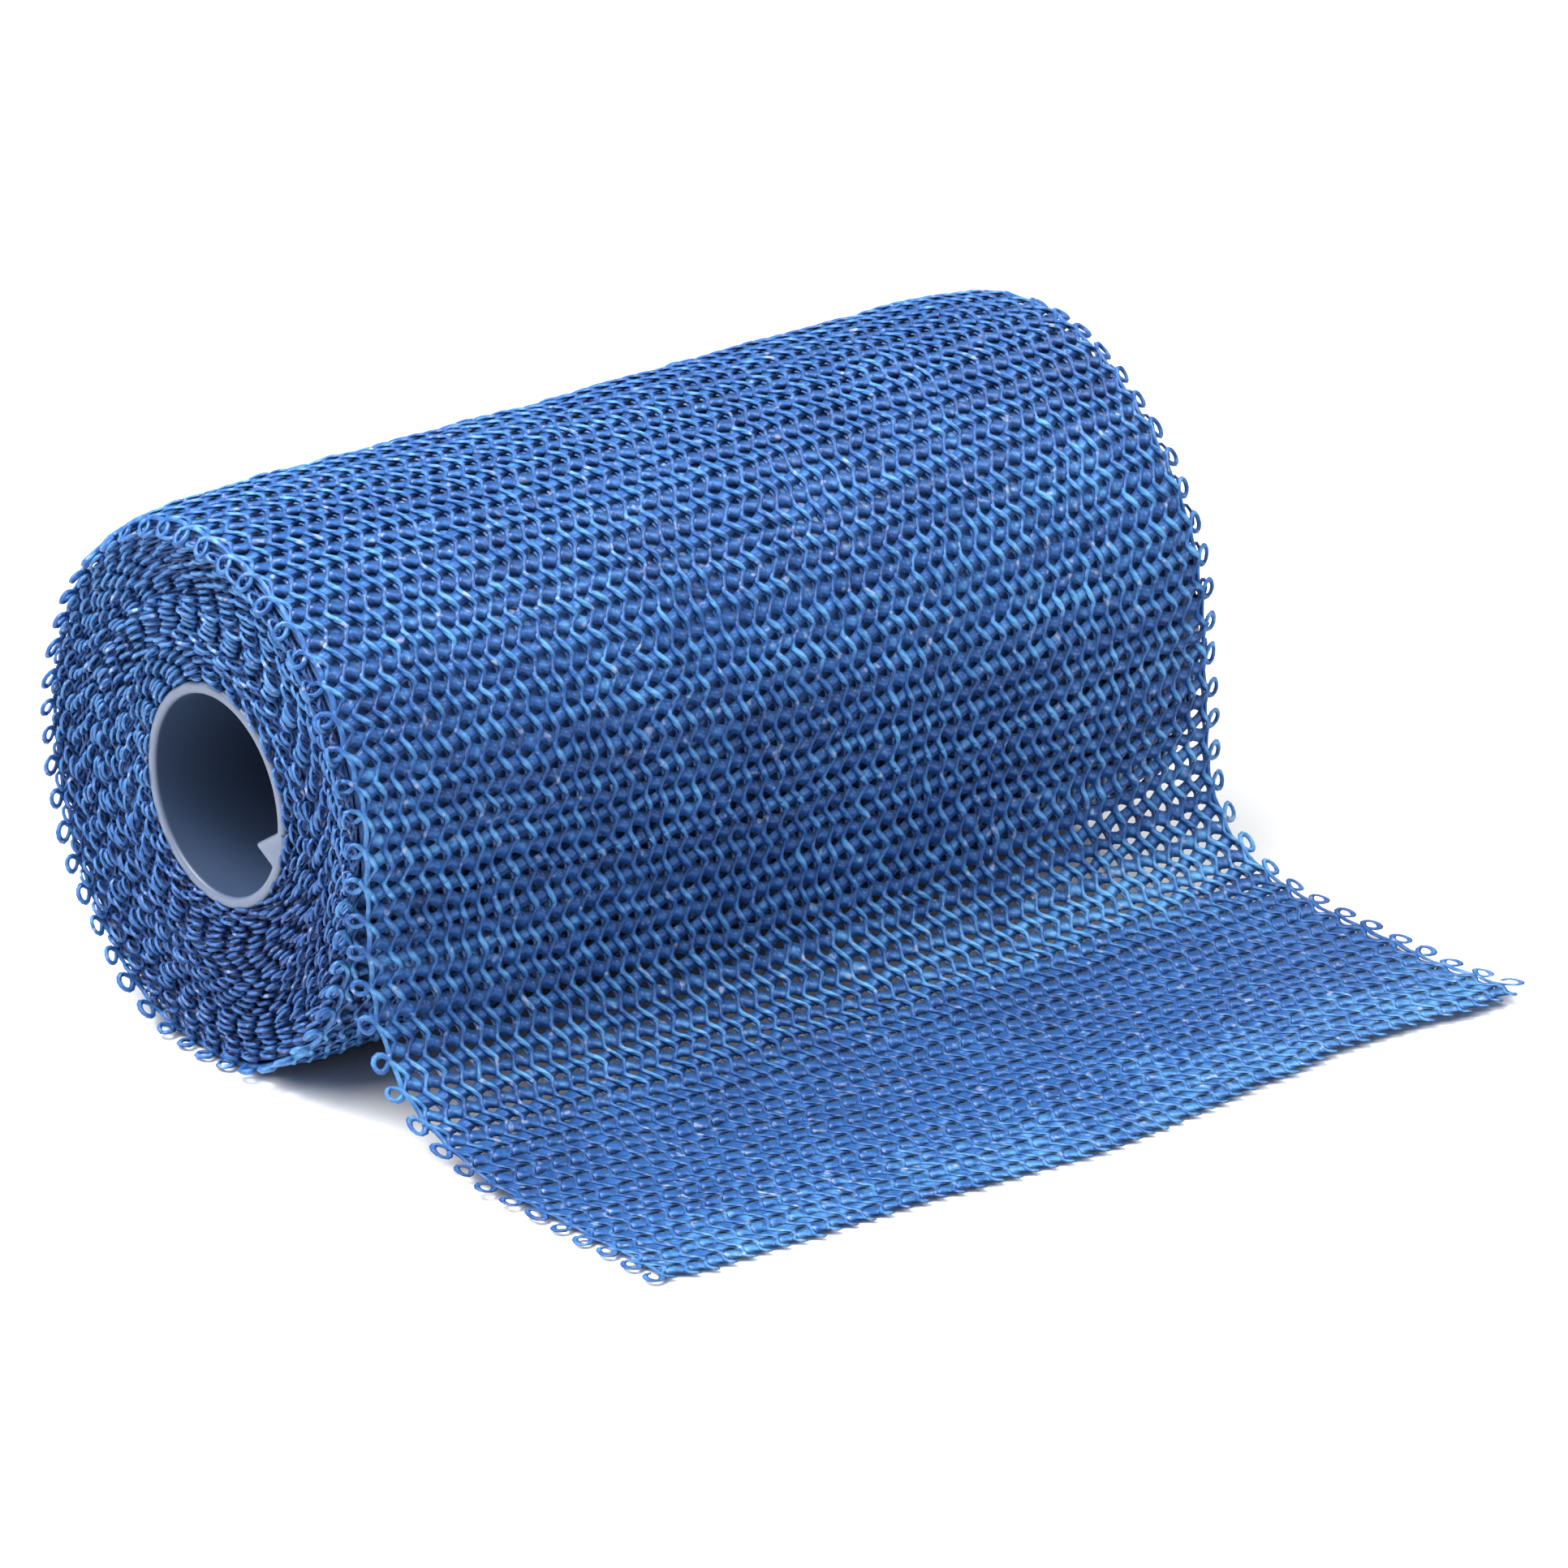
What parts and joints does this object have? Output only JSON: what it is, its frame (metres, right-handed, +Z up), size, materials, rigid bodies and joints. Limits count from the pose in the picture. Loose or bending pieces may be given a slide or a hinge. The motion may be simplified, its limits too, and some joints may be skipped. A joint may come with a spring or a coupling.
{
  "type": "fibreglass casting tape roll",
  "caption": "Knitted fibreglass casting tape wound on a keyed plastic core, lying on its side with its loose end drawn out flat.",
  "frame": {"origin": "on the surface that the roll lies on, at the flat spot under the middle of the roll", "axes": "+X along the core, from the near end in the picture to the far end; +Y away from the loose end; +Z up"},
  "size_m": [0.1306, 0.1182, 0.0661],
  "materials": {
    "casting_tape": "royal blue open warp knit of glass yarn with a satin, resin-wet sheen",
    "core_plastic": "pale blue-grey translucent polythene, satin, darker inside the bore"
  },
  "bodies": {
    "root": {"core": "core_plastic", "wound_tape": "casting_tape", "loose_end": "casting_tape"}
  },
  "joints": []
}
